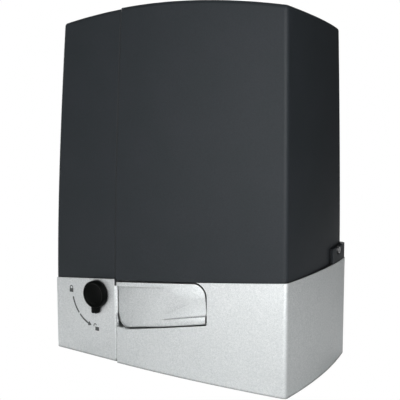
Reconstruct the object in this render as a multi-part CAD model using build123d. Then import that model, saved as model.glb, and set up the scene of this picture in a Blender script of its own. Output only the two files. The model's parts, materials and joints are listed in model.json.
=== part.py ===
from build123d import *
import math
import os

# Sliding gate motor: a die-cast base with a geared motor, a release flap and a lift-off cover.
# Millimetres. X is across the front, +Y points from the front to the gate, +Z is up.
# The origin is on the floor, under the middle of the base.

# Case, seen from above
case_length = 287.0
case_depth = 166.0
front_bow = 7.5
side_bow = 6.0
back_flare = 1.0
corner_round = 4.5
back_round = 8.0
base_wall = 4.0
floor_thick = 6.0

# Joint line between the base and the cover, which rises to the right
seam_height = 94.0
seam_rise = 0.0976
seam_gap = 0.4
column_rise = 1.0

# Plain column at the left of the front; the panel beside it stands proud
column_edge = -51.0
base_step = 2.8
cover_step = 4.0
bevel_width = 3.2
bevel_depth = 1.6
panel_bevel = 2.0

# Cover
cover_height = 373.0
cover_wall = 3.0
cover_inset = 0.8
cover_back_inset = 3.0
arch_radius = 750.0
arch_middle = -25.0
top_round = 4.0
lean_left = 13.0
lean_right = 6.0
lean_front = 7.5
lean_back = 4.0
lean_edge = 6.8
lean_power = 1.5
cover_edge_shift = 1.8

# Cover screws in their ears, one at each side near the back
ear_length = 55.0
ear_height = 16.5
ear_inset = 0.6
ear_reach = 12.0
ear_screw_inset = 34.6
ear_screw_rise = 13.0
ear_screw_radius = 2.0
ear_screw_length = 18.0
ear_hole_clearance = 0.3
ear_dish_radius = 5.0
ear_dish_depth = 1.6
lug_width = 17.0
lug_thick = 7.0
lug_clearance = 0.8
lug_top_margin = 3.0
lug_root = 14.0
lug_root_top = 4.0
washer_radius = 4.3
washer_thick = 0.6
washer_gap = 0.15
screw_head_radius = 3.5
screw_head_height = 2.0
nut_width = 8.0
nut_thick = 3.2
nut_gap = 0.3
thread_gap = 0.02

# Anchor slots, levelling screws and cable inlet in the floor
slot_pitch_x = 236.0
slot_pitch_y = 116.0
slot_width = 11.0
slot_length = 24.0
level_x = 84.0
level_y = 58.0
level_radius = 5.0
level_length = 15.0
level_boss_radius = 9.0
level_boss_height = 10.0
inlet_inset = 34.0
inlet_setback = 10.0
inlet_length = 50.0
inlet_width = 25.0
grommet_wall = 3.5
grommet_lip = 3.0
grommet_lip_thick = 2.5

# Rubber seal in the rim of the base
seal_inset = 1.3
seal_width = 1.4
seal_depth = 1.2
seal_stand = 0.25
seal_clearance = 0.05

# Output shaft, worm wheel and worm
output_x = -44.5
output_z = 54.0
wheel_setback = 61.0
gear_module = 2.5
wheel_teeth = 30
wheel_face = 20.0
worm_pitch_radius = 12.5
worm_turns = 6
mesh_backlash = 0.4
pressure_angle = 20.0
hub_radius = 24.0
hub_front_reach = 12.0
hub_back_reach = 7.6
shaft_radius = 12.5
shaft_nose_radius = 10.0
shaft_front_reach = 32.0
shaft_shoulder_reach = 18.8
shaft_back_reach = 32.4
shaft_clearance = 0.05
sleeve_wall = 4.0
front_spacer_length = 6.2

# Rack pinion behind the back wall
pinion_module = 4.0
pinion_teeth = 15
pinion_face = 30.0
pinion_gap = 3.0
key_width = 8.0
key_height = 7.0
key_length = 25.0
pinion_washer_radius = 18.0
pinion_washer_thick = 3.0
pinion_screw_radius = 4.0
pinion_screw_length = 20.0
pinion_screw_head = 6.5

# Bearings: bore radius, outer radius, width
rear_bearing = (12.5, 23.5, 12.0)
front_bearing = (10.0, 21.0, 12.0)
worm_low_bearing = (7.5, 17.5, 11.0)
worm_high_bearing = (8.5, 20.0, 12.0)
bearing_fit = 0.02
race_thick = 2.6
rear_bearing_setback = 19.0
front_bearing_reach = 31.0
worm_low_bearing_z = 14.0
worm_high_bearing_z = 90.0
seal_ring_outer = 21.0
seal_ring_width = 6.8
rear_boss_wall = 5.0

# Release: hinge of the flap, its cam, the push rod and the driving pin
flap_right = 60.6
flap_corner = 12.0
flap_low_left = 37.3
flap_low_rise = 0.198
flap_low_round = 12.5
flap_gap = 1.8
flap_seam_gap = 1.4
flap_side_gap = 0.5
flap_recess = 5.0
flap_recess_end = 16.0
flap_lip = 4.5
flap_depth = 8.0
scoop_depth = 3.2
scoop_start = -5.0
scoop_height = 20.0
ledge_height = 6.8
hinge_radius = 2.0
hinge_clearance = 0.06
barrel_radius = 6.0
barrel_bottom = 44.0
knuckle_radius = 3.6
lip_end_radius = 11.8
flap_end_radius = 8.6
end_clearance = 0.7
swing_notch_left = -48.6
swing_notch_right = -38.0
swing_clearance = 0.4
cam_base_radius = 7.5
cam_half_height = 4.0
cam_run_on = 20.0
release_travel = 6.0
flap_opening = 60.0
tail_length = 12.0
tail_thick = 4.0
tail_bottom = 64.0
tail_top = 77.0
rod_radius = 3.0
rod_gap = 0.6
rod_head_radius = 4.02
rod_head_length = 8.0
rod_bore_radius = 4.1
pin_radius = 3.0
pin_length = 34.0
pin_reach = 5.0
pin_gap = 0.2
spring_wire = 0.45
spring_radius = 3.2
spring_length = 15.6
spring_turns = 5
dog_clearance = 0.15

# Pocket behind the flap and the lock
pocket_left = -100.0
pocket_right = 68.0
pocket_depth = 27.0
pocket_floor = 35.0
pocket_wall = 3.0
pocket_top_drop = 2.0

# Release lock with its knob
lock_x = -78.5
lock_z = 71.0
knob_radius = 14.7
knob_stand = 3.0
knob_thick = 6.3
knob_rim = 2.6
knob_dish = 1.0
knob_tab_width = 9.0
knob_tab_reach = 21.0
knob_bar_width = 6.0
lock_flange_radius = 13.5
lock_flange_thick = 1.6
lock_seat_depth = 5.6
lock_barrel_radius = 10.5
lock_barrel_depth = 15.0
lock_plug_radius = 6.5
lock_clearance = 0.06
lock_nut_depth = 10.3
lock_nut_thick = 3.0
lock_nut_across = 27.0
tongue_gap = 0.8
tongue_thick = 2.8
tongue_width = 8.0
tongue_reach = 25.5
lock_screw_radius = 2.0
lock_screw_head = 4.0

# Gear case
chamber_radius = 42.5
gear_case_wall = 5.5
chamber_front_reach = 18.0
chamber_back_reach = 20.0
gear_case_back_wall = 6.0
lid_thick = 6.0
lid_boss_wall = 5.0
worm_chamber_radius = 16.0
worm_chamber_bottom = 26.0
worm_block = 48.0
foot_left = -100.0
foot_right = 44.0
foot_thick = 6.0
foot_bolt_inset = 7.0
foot_bolt_radius = 3.0
foot_bolt_head = 5.0
lid_screw_angles = (60.0, 120.0, 240.0, 300.0)
lid_screw_circle = 48.0
lid_lug_radius = 5.5
lid_screw_radius = 2.0
lid_screw_length = 15.0

# Motor above the worm
motor_bottom = 104.0
motor_flange_thick = 6.0
motor_top = 198.0
motor_radius = 51.0
stator_radius = 47.0
stator_bore = 27.0
stator_bottom = 126.0
stator_top = 176.0
stator_slots = 12
slot_radius = 3.2
winding_bottom = 112.0
winding_top = 190.0
winding_clearance = 0.3
air_gap = 0.5
motor_lug_radius = 6.0
motor_lug_circle = 55.0
motor_bolt_radius = 2.5
motor_bolt_head = 4.2
shield_thick = 14.0

# Capacitor and transformer
capacitor_inset = 24.0
capacitor_offset = 4.0
capacitor_radius = 18.0
capacitor_height = 76.0
transformer_x = 92.0
transformer_offset = 4.0
transformer_width = 66.0
transformer_depth = 36.0
transformer_height = 55.0
transformer_limb = 11.0
coil_overhang = 9.0
coil_clearance = 0.3

# Upright board with its carrier
carrier_setback = 43.0
carrier_thick = 3.0
carrier_width = 210.0
carrier_bottom = 118.0
carrier_top = 322.0
post_width = 8.0
post_depth = 12.0
post_screw_radius = 1.5
post_screw_head = 2.8
standoff_height = 4.0
standoff_radius = 4.0
board_inset = 8.0
board_height = 132.0
board_bottom = 160.0
board_thick = 1.6
board_margin = 7.0
board_screw_radius = 1.5
terminal_count = 8
terminal_pitch = 24.0
terminal_width = 22.0
terminal_depth = 12.0
terminal_height = 13.0
relay_count = 3
relay_size = (19.0, 15.0, 15.5)
board_capacitor_radius = 8.0
board_capacitor_length = 18.0
button_x = 60.0
button_z = 268.0
button_size = 12.0
button_body = 5.0
button_radius = 3.4
button_reach = 4.0
button_travel = 0.5
button_clearance = 0.08

# Flap switch
switch_x = 40.0
switch_z = 68.0
switch_width = 20.0
switch_height = 10.0
switch_depth = 13.0
plunger_radius = 1.5
plunger_reach = 3.7
plunger_depth = 5.0
plunger_travel = 1.5
plunger_clearance = 0.06
striker_thick = 2.0
striker_size = 8.0

# Limit switch above the pinion
tower_width = 50.0
tower_top = 118.0
tower_setback = 15.0
tower_thick = 4.0
limit_width = 44.0
limit_bottom = 102.0
limit_top = 138.0
limit_overhang = 3.0
limit_clearance = 0.2
limit_wall = 2.5
notch_clearance = 1.0
lever_z = 122.0
lever_hub_radius = 4.0
lever_hub_height = 14.0
lever_pin_radius = 1.5
lever_overhang = 34.0
lever_radius = 2.4
lever_slot_height = 7.0
lever_slot_width = 24.0
lever_clearance = 0.06

# Worked out from the sizes above
half_length = case_length / 2
front_crown = -case_depth / 2
front_corner = front_crown + front_bow
back_face = case_depth / 2
cover_back = back_face - cover_back_inset
ear_front = back_face - ear_length
ear_screw_y = back_face - ear_screw_inset
wheel_y = back_face - wheel_setback
hub_front = wheel_y - hub_front_reach
hub_back = wheel_y + hub_back_reach
shaft_nose_front = wheel_y - shaft_front_reach
shaft_shoulder = wheel_y - shaft_shoulder_reach
shaft_end = back_face + shaft_back_reach
pinion_front = back_face + pinion_gap
rear_bearing_front = back_face - rear_bearing_setback
front_bearing_front = wheel_y - front_bearing_reach
pin_y = wheel_y + pin_reach
chamber_front = wheel_y - chamber_front_reach
chamber_back = wheel_y + chamber_back_reach
gear_case_back = chamber_back + gear_case_back_wall
flap_back = front_crown + flap_depth
pocket_back = front_crown + pocket_depth
knob_front = front_crown - knob_stand
lock_seat_y = front_crown + lock_seat_depth
lock_barrel_back = front_crown + lock_barrel_depth
lock_nut_front = front_crown + lock_nut_depth
tongue_front = lock_barrel_back + tongue_gap
switch_front = pocket_back - switch_depth
plunger_front = switch_front - plunger_reach
capacitor_x = -half_length + capacitor_inset
capacitor_y = wheel_y + capacitor_offset
transformer_y = wheel_y - transformer_offset
carrier_front = front_crown + carrier_setback
board_width = carrier_width - 2 * board_inset
inlet_x = carrier_width / 2 - inlet_inset
inlet_y = carrier_front + inlet_setback
tower_front = back_face - tower_setback
lever_reach = back_face + lever_overhang
limit_back = back_face + limit_overhang
lever_pivot_y = (tower_front + tower_thick + limit_back) / 2
worm_x = output_x + worm_pitch_radius + gear_module * wheel_teeth / 2
worm_axial_pitch = math.pi * gear_module
cover_edge = column_edge - cover_edge_shift


def seam(x):
    """Height of the base's rim at X."""
    return seam_height + seam_rise * x


def bow_y(x, left, right, front):
    """Y of a front that stands out between its corners."""
    middle = (left + right) / 2
    half = (right - left) / 2
    return front - front_bow * (1 - ((x - middle) / half) ** 2)


def bar(low, high):
    """A block between two corners."""
    size = [high[i] - low[i] for i in range(3)]
    centre = [(high[i] + low[i]) / 2 for i in range(3)]
    return Pos(*centre) * Box(*size)


def along_x(radius, y, z, start, end):
    return Pos((start + end) / 2, y, z) * Rot(0, 90, 0) * Cylinder(radius, abs(end - start))


def along_y(radius, x, z, start, end):
    return Pos(x, (start + end) / 2, z) * Rot(90, 0, 0) * Cylinder(radius, abs(end - start))


def along_z(radius, x, y, start, end):
    return Pos(x, y, (start + end) / 2) * Cylinder(radius, abs(end - start))


def outline(left, right, front, back, edge, step, back_in, inset=0):
    """The case from above: a bowed front with its column, bowed sides and a flat back."""
    inner_left = left + inset
    inner_right = right - inset
    panel_left = edge + inset

    def front_y(x):
        return bow_y(x, left, right, front) + inset

    low = front_y(inner_right)
    high = back - inset
    centre = (low + high) / 2
    middle = (panel_left + inner_right) / 2
    panel_side = (panel_left, front_y(panel_left) + panel_bevel)
    panel_start = (panel_left + panel_bevel, front_y(panel_left + panel_bevel))
    front_right = (inner_right, low)
    back_right = (inner_right - back_in, high)
    back_left = (inner_left + back_in, high)
    front_left = (inner_left, low)
    column_end = (edge - bevel_width, front_y(edge) + step)
    bevel_end = (edge, front_y(edge) + step + bevel_depth)
    step_end = (panel_left, bevel_end[1])
    with BuildSketch() as sketch:
        with BuildLine():
            ThreePointArc(panel_start, (middle, front_y(middle)), front_right)
            ThreePointArc(front_right, (inner_right - back_in / 2 + side_bow, centre), back_right)
            Line(back_right, back_left)
            ThreePointArc(back_left, (inner_left + back_in / 2 - side_bow, centre), front_left)
            Line(front_left, column_end)
            Line(column_end, bevel_end)
            if inset:
                Line(bevel_end, step_end)
            Line(step_end, panel_side)
            Line(panel_side, panel_start)
        make_face()
    face = sketch.sketch
    front_radius = max(corner_round - inset, 1)
    back_radius = max(back_round - inset, 1)
    corners = ((front_right, front_radius), (back_right, back_radius))
    corners += ((back_left, back_radius), (front_left, front_radius))
    for corner, radius in corners:
        near = [v for v in face.vertices() if math.dist((v.X, v.Y), corner) < 0.01]
        face = fillet(near, radius)
    return face.face()


def base_outline(inset=0):
    return outline(-half_length, half_length, front_corner, back_face, column_edge, base_step,
                   -back_flare, inset)


def lean(z, total):
    """How far the cover has leaned in at a height."""
    start = seam(-half_length)
    share = max(0, (z - start) / (cover_height - start))
    return total * share ** lean_power


def cover_outline(z, inset=0):
    left = -half_length + cover_inset + lean(z, lean_left)
    right = half_length - cover_inset - lean(z, lean_right)
    front = front_corner + cover_inset + lean(z, lean_front)
    back = cover_back - lean(z, lean_back)
    edge = cover_edge + lean(z, lean_edge)
    return outline(left, right, front, back, edge, cover_step, cover_back_inset, inset)


def cover_form(inset):
    """The leaning form of the cover, from below the joint line to above its top."""
    heights = [cover_height * share for share in (0.19, 0.4, 0.65, 0.86, 1.04)]
    return loft([Pos(0, 0, z) * cover_outline(z, inset) for z in heights])


def under_arch(top):
    """Everything under the arched top."""
    reach = case_length

    def arch(x):
        return top - (x - arch_middle) ** 2 / (2 * arch_radius)

    with BuildSketch(Plane.XZ.offset(-reach)) as sketch:
        with BuildLine():
            Line((-reach, 0), (reach, 0))
            Line((reach, 0), (reach, arch(reach)))
            ThreePointArc((reach, arch(reach)), (arch_middle, top), (-reach, arch(-reach)))
            Line((-reach, arch(-reach)), (-reach, 0))
        make_face()
    return extrude(sketch.sketch, 2 * reach)


def above_seam(lift, edge=None):
    """Everything above the joint line raised by lift, with its step at the column's edge."""
    reach = case_length
    top = 3 * cover_height
    points = [(reach, seam(reach) + lift), (reach, top), (-reach, top)]
    if edge is None:
        points.append((-reach, seam(-reach) + lift))
    else:
        points.append((-reach, seam(-reach) + column_rise + lift))
        points.append((edge, seam(edge) + column_rise + lift))
        points.append((edge, seam(edge) + lift))
    face = Plane.XZ.offset(-reach) * make_face(Polyline(*points, close=True))
    return extrude(face, 2 * reach)


def flap_outline(left, grow):
    """The flap from the front, grown by a margin; its top follows the joint line."""
    right = flap_right + grow
    low_left = (left, flap_low_left - grow)
    low_right = (right, flap_low_left - grow + flap_low_rise * (right - left))
    high_right = (right, seam(right) - flap_seam_gap + grow)
    high_left = (left, seam(left) - flap_seam_gap + grow)
    face = make_face(Polyline(low_left, low_right, high_right, high_left, close=True))
    rounds = ((low_left, flap_low_round + grow), (high_right, flap_corner + grow))
    rounds += ((low_right, flap_gap),)
    for corner, radius in rounds:
        near = [v for v in face.vertices() if math.dist((v.X, v.Y), corner) < 0.01]
        face = fillet(near, radius)
    return Plane.XZ * face


def flap_prism(left, grow, front, back):
    """The flap's outline as a prism between two Y places."""
    face = flap_outline(left, grow)
    return Pos(0, back, 0) * extrude(face, back - front)


def panel_y(x):
    """Y of the base's front panel at X."""
    return bow_y(x, -half_length, half_length, front_corner)


hinge_x = column_edge + barrel_radius + 0.5
hinge_y = panel_y(column_edge) + flap_recess + barrel_radius
lip_bottom = seam(hinge_x) - flap_seam_gap - flap_lip
cam_rate = release_travel / math.radians(flap_opening)
rod_tip = hinge_y + cam_base_radius + rod_gap


def involute_gear(module, teeth, backlash, root_factor=1.25, turn=0.0):
    """Outline of a spur gear whose first tooth points along +X."""
    pitch_radius = module * teeth / 2
    base_radius = pitch_radius * math.cos(math.radians(pressure_angle))
    tip_radius = pitch_radius + module
    root_radius = pitch_radius - root_factor * module
    half_tooth = math.pi / (2 * teeth) - backlash / (2 * pitch_radius)

    def involute(radius):
        angle = math.acos(min(1.0, base_radius / radius))
        return math.tan(angle) - angle

    def half_angle(radius):
        return half_tooth + involute(pitch_radius) - involute(max(radius, base_radius))

    steps = 5
    start = max(root_radius, base_radius)
    flank = [start + (tip_radius - start) * i / steps for i in range(steps + 1)]
    if start > root_radius:
        flank = [root_radius] + flank
    points = []
    for tooth in range(teeth):
        centre = 2 * math.pi * tooth / teeth + turn
        for radius in flank:
            angle = centre - half_angle(radius)
            points.append((radius * math.cos(angle), radius * math.sin(angle)))
        for radius in reversed(flank):
            angle = centre + half_angle(radius)
            points.append((radius * math.cos(angle), radius * math.sin(angle)))
    return make_face(Polyline(*points, close=True))


def ball_bearing(size, axis_place, start, along):
    """Two races with balls between them, as one group of solids."""
    bore, outer, width = size
    middle = (bore + outer) / 2
    ball_radius = (outer - bore) / 2 - race_thick + 0.6
    inner_race = Cylinder(bore + race_thick, width) - Cylinder(bore + bearing_fit, width)
    outer_race = Cylinder(outer, width) - Cylinder(outer - race_thick, width)
    groove = Torus(middle, ball_radius + 0.02)
    shapes = [inner_race - groove, outer_race - groove]
    count = int(2 * math.pi * middle / (2.6 * ball_radius))
    for i in range(count):
        shapes.append(Rot(0, 0, 360 * i / count) * Pos(middle, 0, 0) * Sphere(ball_radius))
    group = Compound(children=[s.solid() for s in shapes])
    if along == "Y":
        x, z = axis_place
        return Pos(x, start + width / 2, z) * Rot(90, 0, 0) * group
    x, y = axis_place
    return Pos(x, y, start + width / 2) * group


def socket_screw(radius, length, head_radius, head_height):
    """A screw along -Z: the underside of its head is at Z = 0, with a socket in its top."""
    shank = Pos(0, 0, -length / 2) * Cylinder(radius, length)
    head = Pos(0, 0, head_height / 2) * Cylinder(head_radius, head_height)
    socket = extrude(RegularPolygon(head_radius * 0.55, 6), head_height * 0.6)
    return shank + head - Pos(0, 0, head_height * 0.4) * socket


def group_of(shapes):
    """Separate solids kept together in one sub-part."""
    return Compound(children=[solid for shape in shapes for solid in shape.solids()])


def side_lug(side):
    """The base's lug inside the cover that the cover screw of one side clamps."""
    z = seam(side * half_length)
    top = z + ear_height + lug_top_margin
    low = z - lug_root
    outer = extrude(Pos(0, 0, low) * cover_outline(low, cover_wall + lug_clearance), top - low)
    inner = extrude(Pos(0, 0, low) * cover_outline(low, cover_wall + lug_clearance + lug_thick), top - low)
    near = half_length / 2
    reach = 2 * case_length
    low_y = ear_screw_y - lug_width / 2
    high_y = ear_screw_y + lug_width / 2
    window = bar((near, low_y, 0), (reach, high_y, reach))
    root = bar((near, low_y, 0), (reach, high_y, z - lug_root_top))
    root_form = extrude(Pos(0, 0, low) * base_outline(base_wall - 0.5), top - low)
    if side < 0:
        window = Rot(0, 0, 180) * Pos(0, -2 * ear_screw_y, 0) * window
        root = Rot(0, 0, 180) * Pos(0, -2 * ear_screw_y, 0) * root
    return (outer - inner) & window, (root_form - inner) & root


def ear_screw_z(side):
    return seam(side * half_length) + ear_screw_rise


def bowed_side_x(y, right, front, back, back_in):
    """X of a bowed right side at Y."""
    share = (y - front) / (back - front)
    return right - back_in * share + 4 * side_bow * share * (1 - share)


def ear_seat_x():
    """X of the bottom of the dish in the right ear."""
    face = bowed_side_x(ear_screw_y, half_length, front_corner, back_face, -back_flare)
    return face - ear_inset - ear_dish_depth


def nut_face_x(side):
    """How far out the flat nut behind one lug reaches."""
    low = seam(side * half_length) - lug_root
    inset = cover_inset + cover_wall + lug_clearance + lug_thick
    right = half_length - inset - lean(low, lean_left if side < 0 else lean_right)
    back = cover_back - inset + cover_inset
    lug_face = bowed_side_x(ear_screw_y + nut_width / 2, right, front_corner + inset, back, cover_back_inset)
    return lug_face - nut_gap


def anchor_slots():
    shapes = []
    for x in (-slot_pitch_x / 2, slot_pitch_x / 2):
        for y in (-slot_pitch_y / 2, slot_pitch_y / 2):
            face = SlotOverall(slot_length, slot_width)
            shapes.append(Pos(x, y, -1) * extrude(face, floor_thick + 2))
    return shapes


def foot_bolt_places():
    places = []
    for x in (foot_left + foot_bolt_inset, foot_right - foot_bolt_inset):
        for y in (chamber_front + foot_bolt_inset, gear_case_back - foot_bolt_inset):
            places.append((x, y))
    return places


def post_places():
    x = carrier_width / 2 - post_width / 2
    return [(side * x, carrier_front - post_depth / 2) for side in (-1, 1)]


def level_places():
    return [(x, y) for x in (-level_x, level_x) for y in (-level_y, level_y)]


def lock_cuts():
    """The lock's round hole and the flat seat of its flange."""
    hole = along_y(lock_barrel_radius + lock_clearance, lock_x, lock_z, front_crown, pocket_back - 2)
    seat = along_y(lock_flange_radius + 0.4, lock_x, lock_z, front_crown - 5, lock_seat_y)
    return hole + seat


def rim_ring(inset, width):
    return base_outline(inset) - base_outline(inset + width)


def seal_band(inset, width, low, high):
    """A band that follows the slanted rim between two heights over it."""
    tall = extrude(rim_ring(inset, width), cover_height)
    band = tall & above_seam(low, column_edge)
    band = band - above_seam(high, column_edge)
    gap = bar((column_edge - 8, front_crown - 5, 0), (flap_right + 8, pocket_back, cover_height))
    tower = bar((output_x - tower_width / 2 - 2, tower_front, 0),
                (output_x + tower_width / 2 + 2, back_face - base_wall, cover_height))
    return band - gap - tower


def make_base_housing():
    tall = seam(half_length) + 60
    body = extrude(base_outline(), tall)
    inside = Pos(0, 0, floor_thick) * extrude(base_outline(base_wall), tall)
    walls = body - inside - above_seam(0, column_edge)

    pocket = bar((pocket_left - pocket_wall, front_crown, pocket_floor - pocket_wall),
                 (pocket_right + pocket_wall, pocket_back + pocket_wall, tall))
    hollow = bar((pocket_left, front_crown - 5, pocket_floor), (pocket_right, pocket_back, tall))
    pocket = (pocket - hollow) & Pos(0, 0, floor_thick) * extrude(base_outline(base_wall - 0.5), tall)
    pocket = pocket - above_seam(-pocket_top_drop, column_edge)
    walls = walls + pocket

    walls = walls - flap_prism(column_edge, flap_gap, front_crown - 5, flap_back + 1)
    walls = walls - bar((column_edge, front_crown - 5, seam(column_edge) - 8),
                        (flap_right - flap_corner, flap_back + 1, tall))
    swing_low = flap_low_left + flap_low_rise * (swing_notch_right - column_edge) - swing_clearance
    walls = walls - bar((swing_notch_left, front_crown - 5, swing_low),
                        (swing_notch_right, flap_back + 1, barrel_bottom + 4))
    relief = along_z(lip_end_radius + end_clearance, hinge_x, hinge_y, lip_bottom - 1, tall)
    relief = relief + along_z(flap_end_radius + end_clearance, hinge_x, hinge_y, pocket_floor, lip_bottom)
    relief = relief & bar((hinge_x - 20, front_crown - 5, 0), (hinge_x, hinge_y + 3, tall))
    walls = walls - relief
    walls = walls - lock_cuts()

    knuckle = along_z(knuckle_radius, hinge_x, hinge_y, pocket_floor - 1, barrel_bottom - 0.3)
    ear_low = lip_bottom + 0.5
    ear_top = seam(hinge_x) - 0.6
    ear = along_z(knuckle_radius, hinge_x, hinge_y, ear_low, ear_top)
    ear = ear + bar((hinge_x - knuckle_radius, hinge_y, ear_low),
                    (hinge_x + knuckle_radius, pocket_back + 1, ear_top))
    walls = walls + knuckle + ear
    walls = walls - along_z(hinge_radius + 0.02, hinge_x, hinge_y, pocket_floor - pocket_wall, tall)
    walls = walls - along_y(rod_radius + hinge_clearance, output_x, output_z, hinge_y, chamber_front)

    boss_radius = rear_bearing[1] + rear_boss_wall
    walls = walls + along_y(boss_radius, output_x, output_z, rear_bearing_front - 2, back_face - 1)
    walls = walls - along_y(rear_bearing[1] + bearing_fit, output_x, output_z,
                            rear_bearing_front - 3, rear_bearing_front + rear_bearing[2])
    walls = walls - along_y(seal_ring_outer + bearing_fit, output_x, output_z,
                            rear_bearing_front, back_face + 1)

    tower = bar((output_x - tower_width / 2, tower_front, seam(output_x) - 12),
                (output_x + tower_width / 2, tower_front + tower_thick, tower_top))
    shelf = bar((output_x - tower_width / 2, tower_front, seam(output_x) - 12),
                (output_x + tower_width / 2, back_face - 1, seam(output_x) - 6))
    walls = walls + tower + shelf

    for side in (-1, 1):
        lug, root = side_lug(side)
        walls = walls + lug + root
        z = ear_screw_z(side)
        half = ear_screw_radius + ear_hole_clearance
        low_x, high_x = sorted((side * (half_length - 3 * lug_thick), side * case_length))
        walls = walls - along_x(half, ear_screw_y, z, low_x, high_x)
        walls = walls - bar((low_x, ear_screw_y - half, z), (high_x, ear_screw_y + half, tall))

    for x, y in level_places():
        walls = walls + along_z(level_boss_radius, x, y, floor_thick - 1, floor_thick + level_boss_height)
        walls = walls - along_z(level_radius + 0.05, x, y, -1, floor_thick + level_boss_height + 1)
    for x, y in foot_bolt_places():
        walls = walls - along_z(foot_bolt_radius + 0.02, x, y, -1, floor_thick + 1)
    for x, y in post_places():
        walls = walls - along_z(post_screw_radius + 0.02, x, y, -1, floor_thick + 1)
        walls = walls - along_z(post_screw_head + 0.3, x, y, -1, 1)
    for slot in anchor_slots():
        walls = walls - slot
    inlet = extrude(SlotOverall(inlet_length, inlet_width), floor_thick + 2)
    walls = walls - Pos(inlet_x, inlet_y, -1) * inlet
    walls = walls - seal_band(seal_inset - seal_clearance, seal_width + 2 * seal_clearance,
                              -seal_depth, cover_height)
    return walls


def make_cover_seal():
    return seal_band(seal_inset, seal_width, -seal_depth, seal_stand)


def make_cable_grommet():
    lip_length = inlet_length + 2 * grommet_lip
    lip_width = inlet_width + 2 * grommet_lip
    lip = extrude(SlotOverall(lip_length, lip_width), grommet_lip_thick)
    sleeve = extrude(SlotOverall(inlet_length - 0.1, inlet_width - 0.1), floor_thick)
    way = SlotOverall(inlet_length - 2 * grommet_wall, inlet_width - 2 * grommet_wall)
    body = Pos(0, 0, floor_thick) * lip + sleeve
    body = body - Pos(0, 0, -1) * extrude(way, floor_thick + grommet_lip_thick + 2)
    return Pos(inlet_x, inlet_y, 0) * body


def make_levelling_screws():
    screws = []
    for x, y in level_places():
        screw = along_z(level_radius, x, y, 0.5, 0.5 + level_length)
        socket = extrude(RegularPolygon(2.9, 6), 5)
        screws.append(screw - Pos(x, y, 0.5 + level_length - 4) * socket)
    return group_of(screws)


def gear_case_plan():
    """The gear case from the front: round about the wheel, with the worm's block beside it."""
    top = motor_bottom - motor_flange_thick
    round_part = along_y(chamber_radius + gear_case_wall, output_x, output_z, chamber_front, gear_case_back)
    half = worm_block / 2
    block = bar((worm_x - half, wheel_y - half, floor_thick), (worm_x + half, wheel_y + half, top + 1))
    return round_part + block


def lid_lug_places():
    places = []
    for angle in lid_screw_angles:
        x = output_x + lid_screw_circle * math.cos(math.radians(angle))
        z = output_z + lid_screw_circle * math.sin(math.radians(angle))
        places.append((x, z))
    return places


def motor_lug_places():
    places = []
    for angle in (45, 135, 225, 315):
        x = worm_x + motor_lug_circle * math.cos(math.radians(angle))
        y = wheel_y + motor_lug_circle * math.sin(math.radians(angle))
        places.append((x, y))
    return places


def motor_ring(radius, low, high):
    """A disc of the motor with its four bolt lugs."""
    disc = along_z(radius, worm_x, wheel_y, low, high)
    for x, y in motor_lug_places():
        disc = disc + along_z(motor_lug_radius, x, y, low, high)
    return disc


def make_gear_case():
    body = gear_case_plan()
    for x, z in lid_lug_places():
        body = body + along_y(lid_lug_radius, x, z, chamber_front, gear_case_back - 14)
    foot_top = floor_thick + foot_thick
    body = body + bar((foot_left, chamber_front, floor_thick), (foot_right, gear_case_back, foot_top))
    body = body + motor_ring(motor_radius, motor_bottom - motor_flange_thick, motor_bottom)
    body = body - along_y(chamber_radius, output_x, output_z, chamber_front - 30, chamber_back)
    room = chamber_radius + gear_case_wall + 0.3
    body = body - along_y(room, output_x, output_z, chamber_front - 30, chamber_front)
    for x, z in lid_lug_places():
        body = body - along_y(lid_lug_radius + 0.3, x, z, chamber_front - 30, chamber_front)
    body = body - along_y(shaft_radius + sleeve_wall + 0.3, output_x, output_z,
                          chamber_back - 1, gear_case_back + 1)
    body = body - along_z(worm_chamber_radius, worm_x, wheel_y, worm_chamber_bottom, worm_high_bearing_z + 1)
    low_bore, low_outer, low_width = worm_low_bearing
    body = body - along_z(low_outer + bearing_fit, worm_x, wheel_y, worm_low_bearing_z,
                          worm_low_bearing_z + low_width)
    body = body - along_z(worm_chamber_radius, worm_x, wheel_y, worm_low_bearing_z, worm_high_bearing_z)
    high_outer = worm_high_bearing[1]
    body = body - along_z(high_outer + bearing_fit, worm_x, wheel_y, worm_high_bearing_z, motor_bottom + 1)
    for x, y in foot_bolt_places():
        body = body - along_z(foot_bolt_radius + 0.3, x, y, floor_thick - 1, foot_top + 1)
    for x, z in lid_lug_places():
        body = body - along_y(lid_screw_radius + thread_gap, x, z, chamber_front - 1,
                              chamber_front + lid_screw_length - lid_thick + 1)
    for x, y in motor_lug_places():
        body = body - along_z(motor_bolt_radius + thread_gap, x, y, motor_bottom - 20, motor_bottom + 1)
    return body


def make_gear_case_lid():
    lid_front = chamber_front - lid_thick
    lid = along_y(chamber_radius + gear_case_wall, output_x, output_z, lid_front, chamber_front)
    for x, z in lid_lug_places():
        lid = lid + along_y(lid_lug_radius, x, z, lid_front, chamber_front)
    boss_radius = front_bearing[1] + lid_boss_wall
    boss_front = front_bearing_front - 3
    lid = lid + along_y(boss_radius, output_x, output_z, boss_front, chamber_front - 1)
    lid = lid - along_y(front_bearing[1] + bearing_fit, output_x, output_z,
                        front_bearing_front, chamber_front + 1)
    lid = lid - along_y(shaft_nose_radius + 1, output_x, output_z, boss_front - 1, chamber_front)
    for x, z in lid_lug_places():
        lid = lid - along_y(lid_screw_radius + 0.3, x, z, lid_front - 1, chamber_front + 1)
    return lid


def make_gear_case_bolts():
    bolts = []
    for x, y in foot_bolt_places():
        bolt = socket_screw(foot_bolt_radius, floor_thick + foot_thick - 1, foot_bolt_head, 6)
        bolts.append(Pos(x, y, floor_thick + foot_thick) * bolt)
    return group_of(bolts)


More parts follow.
